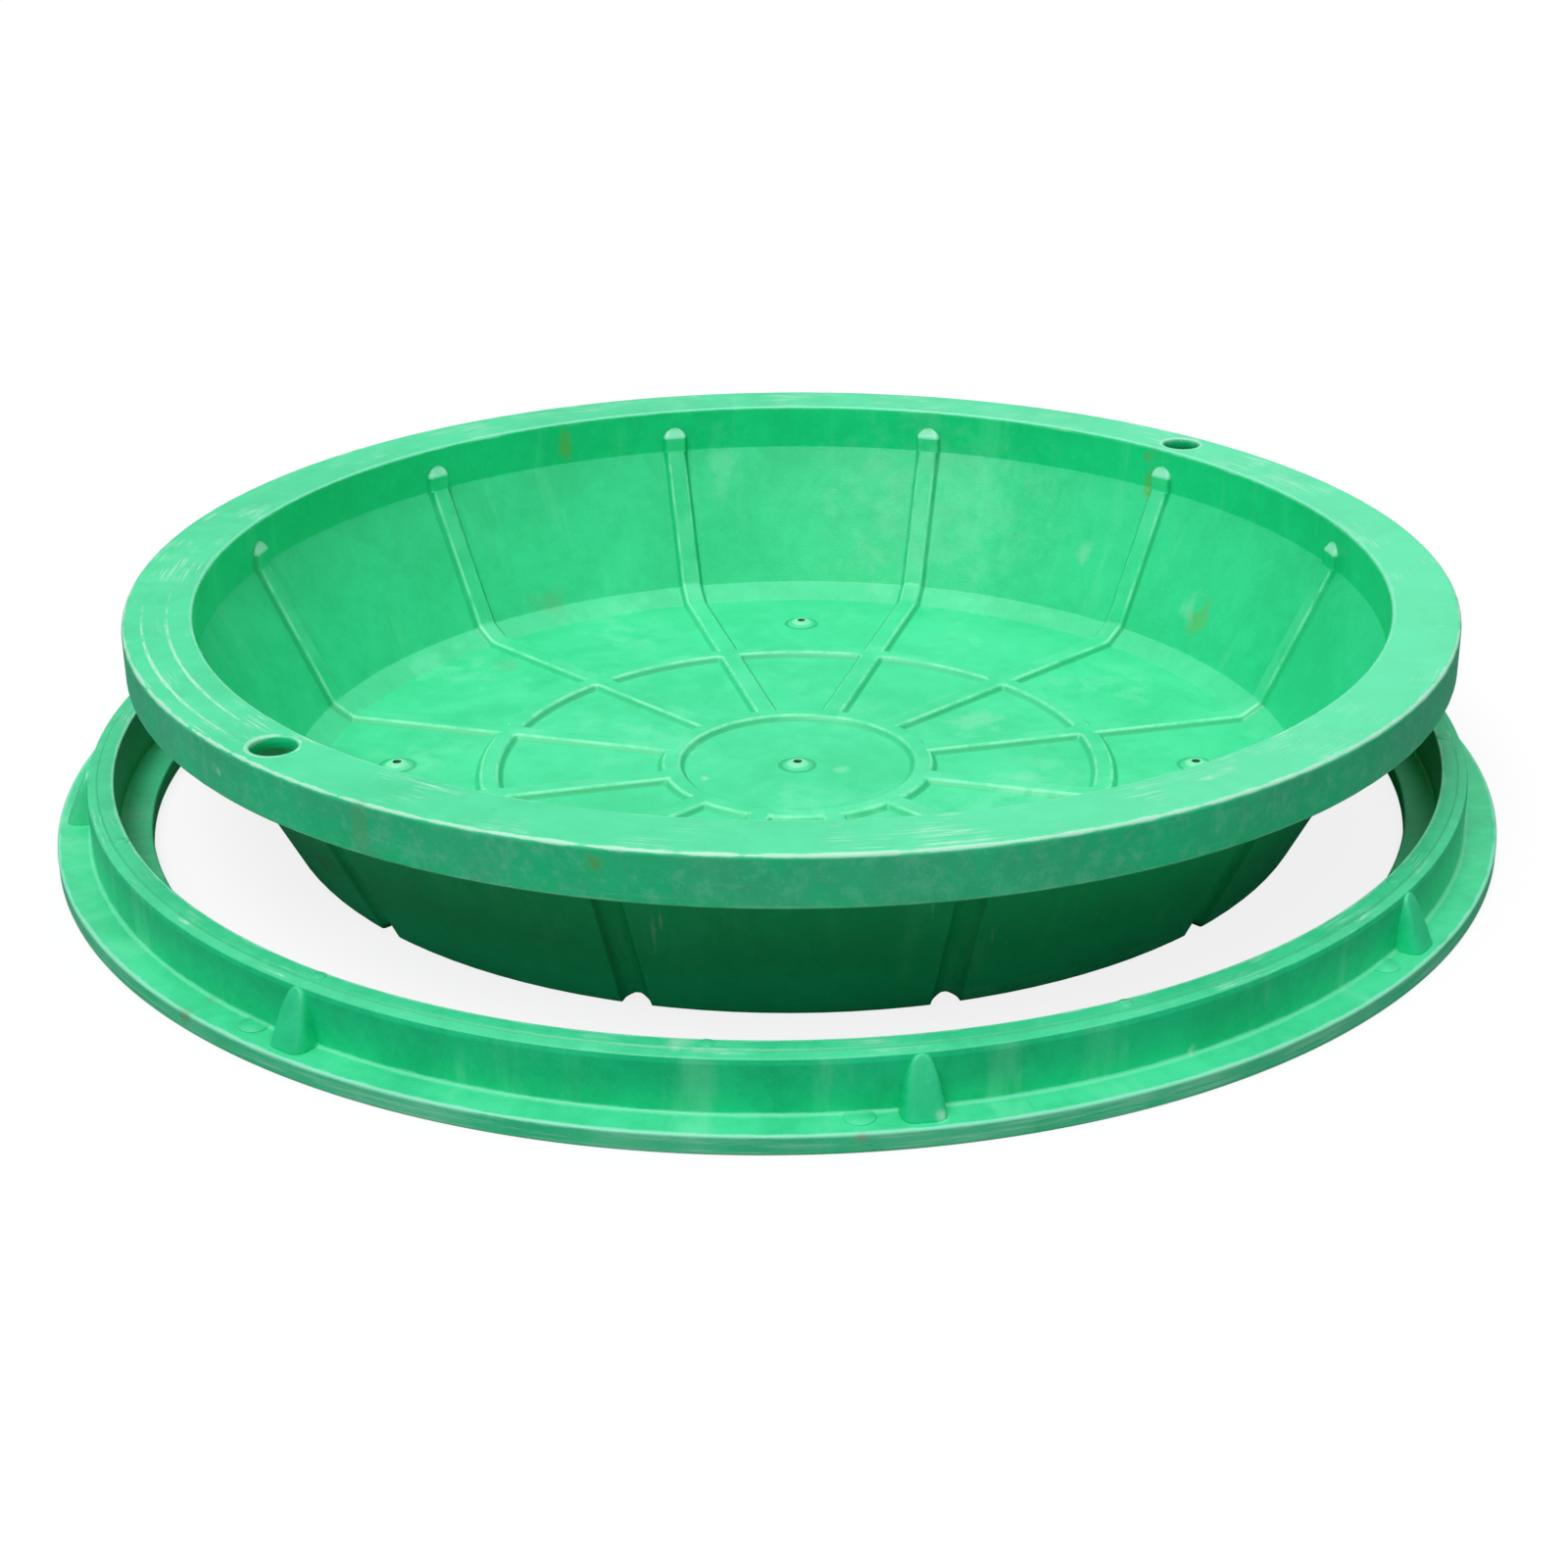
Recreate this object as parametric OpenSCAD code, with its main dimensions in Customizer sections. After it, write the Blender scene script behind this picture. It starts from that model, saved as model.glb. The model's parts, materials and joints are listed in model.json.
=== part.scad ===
// Recessed septic tank cover: a dish-shaped cover that holds soil and grass, and the ring it sits in.
// Both pieces are compression mouldings in green plastic composite. They stand on the ground side by
// side as photographed: the cover on its floor, inside the ring but not seated on the ledge.
// Origin: centre of the ring on the ground. +Z is up.

/* [Seat ring] */
// Clear opening through the ring
opening_d = 700; // [600:5:800]
// Width of the ledge that the cover's skirt stands on
ledge_w = 17.5; // [14:0.5:24]
// Thickness of the ring's upright wall
ring_wall_t = 14.5; // [12:0.5:20]
// Width of the flange outside the wall
flange_w = 18; // [14:0.5:40]
// Thickness of the flange and of the ledge
flange_t = 10; // [6:0.5:14]
// Height of the ring
ring_h = 40; // [36:1:80]
// Rounding of the ring's outer top edge
ring_round = 4; // [1:0.5:5]
// Fillet where the wall stands on the flange
flange_fillet = 2; // [1:0.5:4]

/* [Gussets] */
// Number of gussets round the wall
gusset_count = 8; // [3:1:16]
// Radius of a gusset's foot on the flange
gusset_foot_r = 11; // [8:0.5:12]
// Radius of a gusset's round top
gusset_top_r = 4; // [3:0.5:6]
// Distance from a gusset's top down from the top of the ring
gusset_drop = 3; // [2:0.5:8]

/* [Cover] */
// Gap all round between the cover's rim and the ring's wall
rim_gap = 1; // [0.5:0.5:4]
// Overall height of the cover
cover_h = 122.5; // [90:0.5:200]
// Thickness of the rim's flat top
rim_t = 7; // [5:0.5:10]
// Height of the rim's hanging skirt
skirt_h = 27; // [18:0.5:40]
// Thickness of the skirt
skirt_t = 7; // [5:0.5:9]
// Rounding of the rim's outer top edge
rim_round = 2.5; // [1:0.5:4]
// Gap between the bowl's neck and the ring's clear opening
bowl_gap = 14.5; // [6:0.5:18]
// Depth of the upright band below the rim's top
band_h = 27.5; // [16:0.5:40]
// Thickness of the band and of the sloping wall
wall_t = 6; // [5:0.5:8]
// Lean of the sloping wall away from upright, in degrees
wall_lean = 26.5; // [12:0.5:30]
// Thickness of the floor
floor_t = 4; // [4:0.5:8]
// Width of the sloping knee between floor and wall
knee_w = 13.5; // [8:0.5:24]
// Height of the knee
knee_h = 8.5; // [4:0.5:14]
// Rounding of the bowl's outer bottom edge
foot_round = 4; // [2:0.5:6]

/* [Ribs] */
// Number of radial ribs
rib_count = 12; // [6:1:24]
// Height of a rib above the inner surface
rib_h = 3.5; // [3:0.5:6]
// Width of a rib at its foot
rib_w = 16; // [15:0.5:24]
// Width of a rib's flat top
rib_top_w = 10; // [9:0.5:14]
// Distance from the rim's top down to the end of a rib's head
head_drop = 11; // [9:0.5:14]
// Length of the slope that ends a rib's head
head_slope = 6; // [4:0.5:10]
// Depth of the channel behind each rib
channel_depth = 4.5; // [3:0.5:5]
// Width of the channel at its mouth
channel_w = 15; // [12:0.5:16]
// Width of the channel's bottom
channel_top_w = 8; // [6:0.5:9]

/* [Floor rings] */
// Radius of the hub ring's centre line
hub_r = 73; // [50:0.5:100]
// Radius of the middle ring's centre line
mid_r = 177; // [140:0.5:200]
// Width of a floor ring at its foot
ring_rib_w = 15; // [13:0.5:20]
// Width of a floor ring's flat top
ring_rib_top_w = 9; // [7:0.5:11]
// Height of the hub ring above the floor, where the ribs end
hub_h = 4.5; // [4:0.5:8]
// Height of the middle ring above the floor
mid_h = 3; // [2:0.5:6]
// Depth of the groove behind each floor ring
groove_depth = 2.5; // [1.5:0.5:3]
// Width of that groove at its mouth
groove_w = 13; // [10:0.5:16]
// Width of that groove's bottom
groove_top_w = 6; // [4:0.5:8]

/* [Holes] */
// Number of lifting holes through the rim
lift_count = 2; // [2:1:4]
// Diameter of a lifting hole
lift_d = 23; // [14:0.5:23]
// Number of drain nubs on the outer floor, besides the one in the middle
nub_count = 4; // [3:1:6]
// Distance from the floor's edge in to the circle of drain nubs
nub_inset = 44; // [20:1:80]
// Diameter of a nub at its foot
nub_d = 16; // [12:0.5:24]
// Diameter of a nub's flat top
nub_top_d = 8; // [7:0.5:11]
// Height of a nub above the floor
nub_h = 2.5; // [1.5:0.5:4]
// Diameter of a drain hole
drain_d = 4; // [2:0.5:6]

/* [As they lie] */
// Cover's centre to the right of the ring's centre
cover_x = 7.5; // [-10:0.5:10]
// Cover's centre behind the ring's centre
cover_y = 16; // [-10:0.5:16]
// Turn of the cover about its own axis, in degrees
cover_turn = 1.2; // [-15:0.1:15]
// Turn of the ring about its own axis, in degrees
ring_turn = 11.3; // [-22.5:0.1:22.5]

/* [Hidden] */
green_cover = [0.19, 0.80, 0.46];
green_ring = [0.15, 0.68, 0.42];
arc_steps = 3;
sunk = 2;
through = 1;
round_fn = 96;
edge_round = 1;
inner_round = 3;

// Ring radii
opening_r = opening_d / 2;
ring_bore_r = opening_r + ledge_w;
ring_wall_r = ring_bore_r + ring_wall_t;
flange_r = ring_wall_r + flange_w;

// Cover radii and heights
rim_r = ring_bore_r - rim_gap;
skirt_bore_r = rim_r - skirt_t;
skirt_low = cover_h - skirt_h;
rim_under = cover_h - rim_t;
neck_r = opening_r - bowl_gap;
band_r = neck_r - wall_t;
band_low = cover_h - band_h;
knee_top = floor_t + knee_h;
slope_low_r = band_r - (band_low - knee_top) * tan(wall_lean);
floor_r = slope_low_r - knee_w;
slope_offset_r = wall_t / cos(wall_lean);
foot_r = slope_low_r + slope_offset_r - knee_top * tan(wall_lean);
neck_low = (neck_r - foot_r) / tan(wall_lean);
first_rib = 180 / rib_count;
lift_turn = 3 * first_rib;
lift_r = (neck_r + skirt_bore_r) / 2;
nub_circle_r = floor_r - nub_inset;

// Corner of an outline, rounded by an arc of radius r through arc_steps pieces
function unit(v) = v / norm(v);
function arc(a, b, c, r) = let (
    u = unit(a - b),
    v = unit(c - b),
    half = acos(u * v) / 2,
    centre = b + unit(u + v) * r / sin(half),
    from = b + u * r / tan(half) - centre,
    to = b + v * r / tan(half) - centre)
    [for (k = [0:arc_steps]) centre + r * unit(from * (1 - k / arc_steps) + to * k / arc_steps)];
function flat(p) = [p[0], p[1]];

// Outline through corners [x, y, r], where r is the corner's rounding
function rounded(corners) = let (n = len(corners)) [
    for (i = [0:n - 1])
        let (p = corners[i], before = corners[(i + n - 1) % n], after = corners[(i + 1) % n])
            each p[2] == 0 ? [flat(p)] : arc(flat(before), flat(p), flat(after), p[2])];

// Four corners of a low ridge that stands h above the level z at radius r
function ridge(r, z, h, foot_w, top_w) = [
    [r - foot_w / 2, z, edge_round], [r - top_w / 2, z + h, edge_round],
    [r + top_w / 2, z + h, edge_round], [r + foot_w / 2, z, edge_round]];
function reversed(list) = [for (i = [len(list) - 1:-1:0]) list[i]];

// Path moved sideways by d, to the left of its direction, with mitred corners
function side(a, b) = let (d = unit(b - a)) [-d[1], d[0]];
function moved(path, d) = let (last = len(path) - 1) [
    for (i = [0:last])
        let (n1 = side(path[max(i - 1, 0)], path[max(i, 1)]),
             n2 = side(path[min(i, last - 1)], path[min(i + 1, last)]))
            path[i] + (n1 + n2) * d / (1 + n1 * n2)];

// Inner face of the bowl along a rib, and outer face along its channel, as [radius, height]
rib_path = [[hub_r, floor_t], [floor_r, floor_t], [slope_low_r, knee_top], [band_r, band_low],
    [band_r, cover_h - head_drop - head_slope]];
channel_path = [[hub_r, 0], [foot_r, 0], [neck_r, neck_low], [neck_r, cover_h - head_drop - head_slope]];

// Solid with a four-sided section, swept along stations of [radius, height] pairs
module sweep(low, high, low_w, high_w) {
    n = len(low);
    points = [for (i = [0:n - 1]) each [
        [low[i][0], -low_w[i] / 2, low[i][1]], [low[i][0], low_w[i] / 2, low[i][1]],
        [high[i][0], high_w[i] / 2, high[i][1]], [high[i][0], -high_w[i] / 2, high[i][1]]]];
    sides = [for (i = [0:n - 2], k = [0:3])
        [4 * i + k, 4 * i + 4 + k, 4 * i + 4 + (k + 1) % 4, 4 * i + (k + 1) % 4]];
    far_end = [for (k = [3:-1:0]) 4 * (n - 1) + k];
    polyhedron(points, concat([[0, 1, 2, 3]], sides, [far_end]));
}

module rib() {
    n = len(rib_path);
    end = [band_r, cover_h - head_drop];
    low = concat(moved(rib_path, -sunk), [end + [sunk, 0]]);
    high = concat(moved(rib_path, rib_h), [end - [edge_round, 0]]);
    low_w = [for (i = [0:n]) i < n ? rib_w : rib_top_w];
    high_w = [for (i = [0:n]) i < n ? rib_top_w : rib_top_w / 2];
    sweep(low, high, low_w, high_w);
}

module channel() {
    n = len(channel_path);
    sweep(moved(channel_path, -sunk), moved(channel_path, channel_depth),
        [for (i = [1:n]) channel_w], [for (i = [1:n]) channel_top_w]);
}

// Turned section of the bowl and rim, with the floor rings and the grooves behind them
module bowl_shell() {
    bottom = concat(
        [[0, 0, 0]],
        ridge(hub_r, 0, groove_depth, groove_w, groove_top_w),
        ridge(mid_r, 0, groove_depth, groove_w, groove_top_w),
        [[foot_r, 0, foot_round]]);
    rim = [
        [neck_r, neck_low, inner_round], [neck_r, rim_under, edge_round],
        [skirt_bore_r, rim_under, edge_round], [skirt_bore_r, skirt_low, edge_round],
        [rim_r, skirt_low, edge_round], [rim_r, cover_h, rim_round], [band_r, cover_h, edge_round]];
    inside = [
        [band_r, band_low, inner_round], [slope_low_r, knee_top, inner_round],
        [floor_r, floor_t, inner_round]];
    floor_top = concat(
        reversed(ridge(mid_r, floor_t, mid_h, ring_rib_w, ring_rib_top_w)),
        reversed(ridge(hub_r, floor_t, hub_h, ring_rib_w, ring_rib_top_w)),
        [[0, floor_t, 0]]);
    rotate_extrude($fn = round_fn) polygon(rounded(concat(bottom, rim, inside, floor_top)));
}

// Places its child at the middle of the floor and on each spot of the drain circle
module at_drains() {
    children();
    for (i = [0:nub_count - 1]) rotate(i * 360 / nub_count) translate([nub_circle_r, 0, 0]) children();
}

module cover_basin() {
    color(green_cover)
    translate([cover_x, cover_y, 0]) rotate(cover_turn)
    difference() {
        union() {
            bowl_shell();
            for (i = [0:rib_count - 1]) rotate(first_rib + i * 360 / rib_count) rib();
            at_drains() cylinder(d1 = nub_d, d2 = nub_top_d, h = floor_t + nub_h, $fn = round_fn);
        }
        for (i = [0:rib_count - 1]) rotate(first_rib + i * 360 / rib_count) channel();
        at_drains() translate([0, 0, -through])
            cylinder(d = drain_d, h = floor_t + nub_h + 2 * through, $fn = round_fn);
        for (i = [0:lift_count - 1]) rotate(lift_turn + i * 360 / lift_count)
            translate([lift_r, 0, rim_under - through])
                cylinder(d = lift_d, h = rim_t + 2 * through, $fn = round_fn);
    }
}

// Half-cone buttress with a round top, centred on the wall's outer face
module gusset() {
    ball_z = ring_h - gusset_drop - gusset_top_r;
    translate([ring_wall_r, 0, 0]) {
        translate([0, 0, flange_t - sunk])
            cylinder(r1 = gusset_foot_r, r2 = gusset_top_r, h = ball_z - flange_t + sunk, $fn = round_fn);
        translate([0, 0, ball_z]) sphere(r = gusset_top_r, $fn = round_fn);
    }
}

module seat_ring() {
    color(green_ring)
    rotate(ring_turn) {
        rotate_extrude($fn = round_fn) polygon(rounded([
            [opening_r, 0, edge_round], [flange_r, 0, edge_round], [flange_r, flange_t, edge_round],
            [ring_wall_r, flange_t, flange_fillet], [ring_wall_r, ring_h, ring_round],
            [ring_bore_r, ring_h, edge_round], [ring_bore_r, flange_t, edge_round],
            [opening_r, flange_t, edge_round]]));
        for (i = [0:gusset_count - 1]) rotate(i * 360 / gusset_count) gusset();
    }
}

cover_basin();
seat_ring();
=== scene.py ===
# %% [markdown]
# # A recessed septic tank cover and the ring it sits in
# The real thing is two compression mouldings in green fibre-filled plastic. The cover is a shallow dish
# for soil and turf, stiffened by twelve ribs, two floor rings and a wide rim. The seat ring has a ledge
# for the cover's skirt and eight round buttresses outside. Both shapes follow rules, a turned section
# plus a repeat, so Geometry Nodes make nearly all of them here, and shader groups give them their wear,
# with some painted highlights, painted shade and painted sheen.

# %% Load the imported model as the frame
import json
import math

import bmesh
import bpy
from mathutils import Matrix, Vector

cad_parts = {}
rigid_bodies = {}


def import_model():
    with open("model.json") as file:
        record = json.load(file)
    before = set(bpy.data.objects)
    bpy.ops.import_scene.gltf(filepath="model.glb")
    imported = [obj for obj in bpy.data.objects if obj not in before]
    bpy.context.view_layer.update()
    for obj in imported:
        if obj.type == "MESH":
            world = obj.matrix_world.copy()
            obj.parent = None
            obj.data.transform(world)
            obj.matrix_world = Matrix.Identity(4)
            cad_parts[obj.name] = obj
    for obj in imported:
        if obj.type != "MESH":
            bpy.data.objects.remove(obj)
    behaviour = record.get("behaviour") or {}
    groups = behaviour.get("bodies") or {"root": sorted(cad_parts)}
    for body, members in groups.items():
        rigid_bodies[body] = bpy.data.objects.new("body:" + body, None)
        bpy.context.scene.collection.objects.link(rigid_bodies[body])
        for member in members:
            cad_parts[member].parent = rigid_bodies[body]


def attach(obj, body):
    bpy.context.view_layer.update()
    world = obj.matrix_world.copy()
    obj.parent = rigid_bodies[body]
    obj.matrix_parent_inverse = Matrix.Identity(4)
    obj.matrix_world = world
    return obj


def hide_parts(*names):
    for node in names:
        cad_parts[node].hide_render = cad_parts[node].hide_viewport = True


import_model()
bpy.context.view_layer.update()
in_scene = bpy.context.scene.collection.objects
MM = 0.001

# %% [markdown]
# ## Sizes
# The visual shell uses the same main sizes as the solids, in millimetres, so that both stay one shape.
# Only the softness of edges and the fine marks are added here.

# %% Sizes of the cover and of the ring, in millimetres
COVER_AT = (7.5, 16.0)
COVER_TURN = math.radians(1.2)
RING_TURN = math.radians(11.3)
COVER_H, RIM_R, BAND_R, NECK_R, SKIRT_R = 122.5, 366.5, 329.5, 335.5, 359.5
SKIRT_LOW, RIM_UNDER, BAND_LOW = 95.5, 115.5, 95.0
FLOOR_T, FLOOR_R, KNEE_R, KNEE_TOP, FOOT_R, NECK_LOW = 4.0, 274.9, 288.4, 12.5, 288.9, 93.5
HUB_R, MID_R, RIB_START_R = 73.0, 177.0, 75.0
NUBS, NUB_R, NUB_FOOT_R, NUB_LIP_R, NUB_H, DRAIN_R, DRAIN_MOUTH_R = 4, 231.0, 9.2, 3.6, 2.5, 2.0, 2.48
HOLES, HOLE_R, HOLE_MOUTH_R, HOLE_UNDER_R = 2, 11.5, 12.5, 12.4
HOLES_R, HOLES_AT = (NECK_R + SKIRT_R) / 2, math.radians(45)
RIBS, RIB_H, RIB_HALF, RIB_TOP_HALF = 12, 3.5, 8.0, 5.0
HEAD_LOW, HEAD_END, HEAD_TOP_HALF = 104.0, 111.5, 6.4
CHANNEL_DEPTH, CHANNEL_HALF, CHANNEL_TOP_HALF, CHANNEL_END = 4.5, 7.6, 1.5, 105.5
FULL, DOMED = 1.0, 0.55
RING_HALF, RING_TOP_HALF, GROOVE_DEPTH, GROOVE_HALF, GROOVE_TOP_HALF = 7.5, 4.2, 2.5, 6.5, 3.0
OPENING_R, BORE_R, WALL_R, FLANGE_R, FLANGE_T, RING_H = 350.0, 367.5, 382.0, 400.0, 10.0, 40.0
TOP_STEP_R = 376.5
BUTTRESSES, BUTTRESS_DROP, BUTTRESS_HALF, BUTTRESS_OUT, BUTTRESS_ROOT = 8, 2.6, 10.8, 13.0, 5.0
print("cover", 2 * RIM_R, "mm across, ring", 2 * FLANGE_R, "mm across")

# %% [markdown]
# ## The outline of a turned piece
# A turned piece is a flat outline swept round an axis. Real mouldings have a radius on every corner, so
# each corner is given with its rounding and becomes a short arc. The cover needs two such outlines, its
# plain section and its section through a rib, and a tree blends between them. Both are sampled together,
# point for point, so that a rib bends cleanly over the knee instead of bunching up in the corner.

# %% Rounded outlines, sampled together
def rounded(corners, steps=5, almost_straight=1.55):
    """Points of an outline through corners (radius, height, rounding); a straight corner is spread."""
    points = []
    for i, (r, z, rounding) in enumerate(corners):
        here = Vector((r, z))
        if rounding == 0:
            points.append(here)
            continue
        back = (Vector(corners[i - 1][:2]) - here).normalized()
        ahead = (Vector(corners[(i + 1) % len(corners)][:2]) - here).normalized()
        half = back.angle(ahead) / 2
        if half > almost_straight:
            points += [here + ahead * rounding * (2 * k / steps - 1) for k in range(steps + 1)]
            continue
        centre = here + (back + ahead).normalized() * rounding / math.sin(half)
        start = here + back * rounding / math.tan(half) - centre
        end = here + ahead * rounding / math.tan(half) - centre
        for k in range(steps + 1):
            points.append(centre + (start * (1 - k / steps) + end * (k / steps)).normalized() * rounding)
    return points


def with_steps(plain, raised, step_at, guard=0.9):
    """Both outlines with points added at the same shares of their straight runs, closest at the ends."""
    result = [(plain[0], raised[0])]
    for i in range(len(plain) - 1):
        a, b = plain[i], plain[i + 1]
        length = (b - a).length
        if length > 3 * guard:
            along = guard
            while along < length - 1.5 * guard:
                share = along / length
                result.append((a.lerp(b, share), raised[i].lerp(raised[i + 1], share)))
                along += step_at(result[-1][0])
            share = 1 - guard / length
            result.append((a.lerp(b, share), raised[i].lerp(raised[i + 1], share)))
        result.append((b, raised[i + 1]))
    return result


def moved(path, distance):
    """A path of (radius, height) moved to its left, with mitred corners."""
    path = [Vector(p) for p in path]
    sides = [Vector((-(b - a).y, (b - a).x)).normalized() for a, b in zip(path, path[1:])]
    sides = [sides[0], *sides, sides[-1]]
    return [p + (m + n) * distance / (1 + m.dot(n)) for p, m, n in zip(path, sides, sides[1:])]


# %% Outlines of the cover: plain, and through a rib and the channel behind it
inside_path = [(0, FLOOR_T), (FLOOR_R, FLOOR_T), (KNEE_R, KNEE_TOP), (BAND_R, BAND_LOW), (BAND_R, HEAD_LOW)]
under_path = [(0, 0), (FOOT_R, 0), (NECK_R, NECK_LOW), (NECK_R, CHANNEL_END)]
inside_raised = moved(inside_path, RIB_H)
under_sunk = moved(under_path, CHANNEL_DEPTH)
rim_corners = [
    (BAND_R, COVER_H, 1.6), (RIM_R, COVER_H, 2.6), (RIM_R, SKIRT_LOW, 1.2), (SKIRT_R, SKIRT_LOW, 1.2),
    (SKIRT_R, RIM_UNDER, 1.5), (NECK_R, RIM_UNDER, 1.5)]


def cornered(path, roundings):
    return [(r, z, rounding) for (r, z), rounding in zip(path, roundings)]


plain_corners = (
    cornered(inside_path, (0, 2.4, 1.6, 1.8, 1.0)) + [(BAND_R, HEAD_END, 1.0)] + rim_corners
    + cornered(reversed(under_path), (2.0, 3.0, 4.0, 0)))
raised_corners = (
    cornered(inside_raised, (0, 9.0, 6.0, 1.8, 1.2)) + [(BAND_R, HEAD_END, 0.8)] + rim_corners
    + cornered(reversed(under_sunk), (2.0, 3.0, 5.0, 0)))


def cover_step(point, wide=16.0):
    """Distance to the next point: short over floor rings and rib heads, wide on the straight runs."""
    r, z = point
    if z < FLOOR_T + 1:
        return min(max(min(abs(r - HUB_R), abs(r - MID_R)) - (RING_HALF + 1), 1.2), wide)
    if r < NECK_R + 1 and BAND_LOW - 1 < z < HEAD_END + 1.5:
        return 1.4
    return wide


cover_outline = with_steps(rounded(plain_corners), rounded(raised_corners), cover_step)
print("the cover's outline has", len(cover_outline), "points")

# %% [markdown]
# ## What rises from the outline
# The ribs and floor rings are pressed out of the sheet: raised inside, hollow behind. Each outline point
# stores its way to the outline through a rib, the height of a floor ring, and how far it lies beyond the
# rib's end. The node tree only has to compare those numbers with the distance from the nearest rib. A
# flank is straight at a fullness of 1, and below 1 it fills out to a dome, as the channels do.

# %% Outline as a mesh with named attributes
POINT_NUMBERS = {"ring_rise": MM, "beyond": MM, "half_foot": MM, "half_top": MM, "fullness": 1.0}
NO_RIB = (0, 100, 1, 0, FULL)


def outline_object(name, pairs, describe):
    """A line mesh of the outline; describe(point, number) gives what POINT_NUMBERS names, with its unit."""
    mesh = bpy.data.meshes.new(name)
    steps = [(i, i + 1) for i in range(len(pairs) - 1)]
    mesh.from_pydata([(p.x * MM, 0, p.y * MM) for p, _ in pairs], steps, [])
    rows = [describe(p, i) for i, (p, _) in enumerate(pairs)]
    for column, (label, unit) in enumerate(POINT_NUMBERS.items()):
        layer = mesh.attributes.new(label, "FLOAT", "POINT")
        layer.data.foreach_set("value", [row[column] * unit for row in rows])
    rib_way = mesh.attributes.new("rib_way", "FLOAT_VECTOR", "POINT")
    for i, (p, q) in enumerate(pairs):
        rib_way.data[i].vector = ((q.x - p.x) * MM, 0, (q.y - p.y) * MM)
    return bpy.data.objects.new(name, mesh)


def flank(value, top, foot):
    """1 on a ridge's top, 0 beyond its foot, and straight between."""
    return min(max((foot - value) / (foot - top), 0), 1)


rim_start = max(i for i, (p, _) in enumerate(cover_outline) if abs(p.x - BAND_R) < 0.01 and p.y > 120)
under_start = min(i for i, (p, _) in enumerate(cover_outline) if i > rim_start and abs(p.x - NECK_R) < 0.01)


def describe_cover(point, number):
    """(ring rise, beyond, half foot, half top, fullness of the flank) of one outline point."""
    r, z = point
    near = min(abs(r - HUB_R), abs(r - MID_R))
    if number <= rim_start:
        ring = RIB_H * flank(near, RING_TOP_HALF, RING_HALF) if z < FLOOR_T + 1 else 0
        beyond = max(RIB_START_R - r, z - HEAD_END + RIB_HALF, 0)
        return ring, beyond, RIB_HALF, HEAD_TOP_HALF if z > BAND_LOW - 1 else RIB_TOP_HALF, FULL
    if number >= under_start:
        ring = GROOVE_DEPTH * flank(near, GROOVE_TOP_HALF, GROOVE_HALF) if z < 1 else 0
        beyond = max(RIB_START_R - r, z - CHANNEL_END + CHANNEL_HALF, 0)
        return ring, beyond, CHANNEL_HALF, CHANNEL_TOP_HALF, DOMED
    return NO_RIB


cover_profile = outline_object("cover_profile", cover_outline, describe_cover)
print("ribs lift points 0 to", rim_start, "and channels sink points from", under_start)

# %% [markdown]
# ## A tree that turns an outline and presses ribs into it
# Geometry Nodes lay a flat grid, one row for each outline point and one column for each direction, and
# then place every point by a formula. Columns crowd round each rib at a constant distance in
# millimetres, so a rib keeps its width from hub to rim, which a plain polar grid could not do.

# %% Helpers that build node trees
VECTOR = ("Vector", (0, 0, 0))


def new_tree(family, name, inputs, outputs):
    """Geometry or shader group with named inputs (kind, default) and outputs (kind)."""
    tree = bpy.data.node_groups.new(name, family + "NodeTree")
    for label, (kind, default) in inputs.items():
        made = tree.interface.new_socket(label, in_out="INPUT", socket_type="NodeSocket" + kind)
        if default is not None:
            made.default_value = default
    for label, kind in outputs.items():
        tree.interface.new_socket(label, in_out="OUTPUT", socket_type="NodeSocket" + kind)
    return tree, tree.nodes.new("NodeGroupInput").outputs, tree.nodes.new("NodeGroupOutput").inputs


def put(tree, kind, links=(), **settings):
    """Adds a node, sets its properties, and links or sets its inputs by number or name."""
    node = tree.nodes.new(kind)
    for label, value in settings.items():
        setattr(node, label, value)
    for key, value in dict(links).items():
        if isinstance(value, bpy.types.NodeSocket):
            tree.links.new(value, node.inputs[key])
        elif value is not None:
            node.inputs[key].default_value = value
    return node


def calc(tree, operation, a, b=None):
    return put(tree, "ShaderNodeMath", {0: a, 1: b}, operation=operation).outputs[0]


def times(tree, *factors):
    """Product of two or more values."""
    product = factors[0]
    for factor in factors[1:]:
        product = calc(tree, "MULTIPLY", product, factor)
    return product


def parts(tree, vector):
    """X, Y and Z of a vector."""
    return put(tree, "ShaderNodeSeparateXYZ", {0: vector}).outputs


def length_of(tree, a, b):
    """Length of the diagonal of a and b."""
    return calc(tree, "SQRT", calc(tree, "ADD", calc(tree, "POWER", a, 2), calc(tree, "POWER", b, 2)))


def tell(tree):
    """Prints how many nodes a tree has by now."""
    print(tree.name, "has", len(tree.nodes), "nodes")


# %% Turning tree: its inputs, and each point's row and column in the grid
turned, given, result = new_tree("Geometry", "Turned and ribbed", {
    "Geometry": ("Geometry", None), "Rows": ("Int", 100), "Sectors": ("Int", 12),
    "Columns per sector": ("Int", 28), "Rib zone": ("Float", 0.6), "Rib zone width": ("Float", 0.010),
    "Turn": ("Float", 0.0), "Place": VECTOR, "Material": ("Material", None)},
    {"Geometry": "Geometry"})

columns = calc(turned, "ADD", times(turned, given["Sectors"], given["Columns per sector"]), 1)
sheet = put(turned, "GeometryNodeMeshGrid", {
    "Vertices X": given["Rows"], "Vertices Y": columns}).outputs["Mesh"]
index = put(turned, "GeometryNodeInputIndex").outputs[0]
row = calc(turned, "FLOOR", calc(turned, "DIVIDE", calc(turned, "ADD", index, 0.5), columns))
column = calc(turned, "SUBTRACT", index, times(turned, row, columns))


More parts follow.
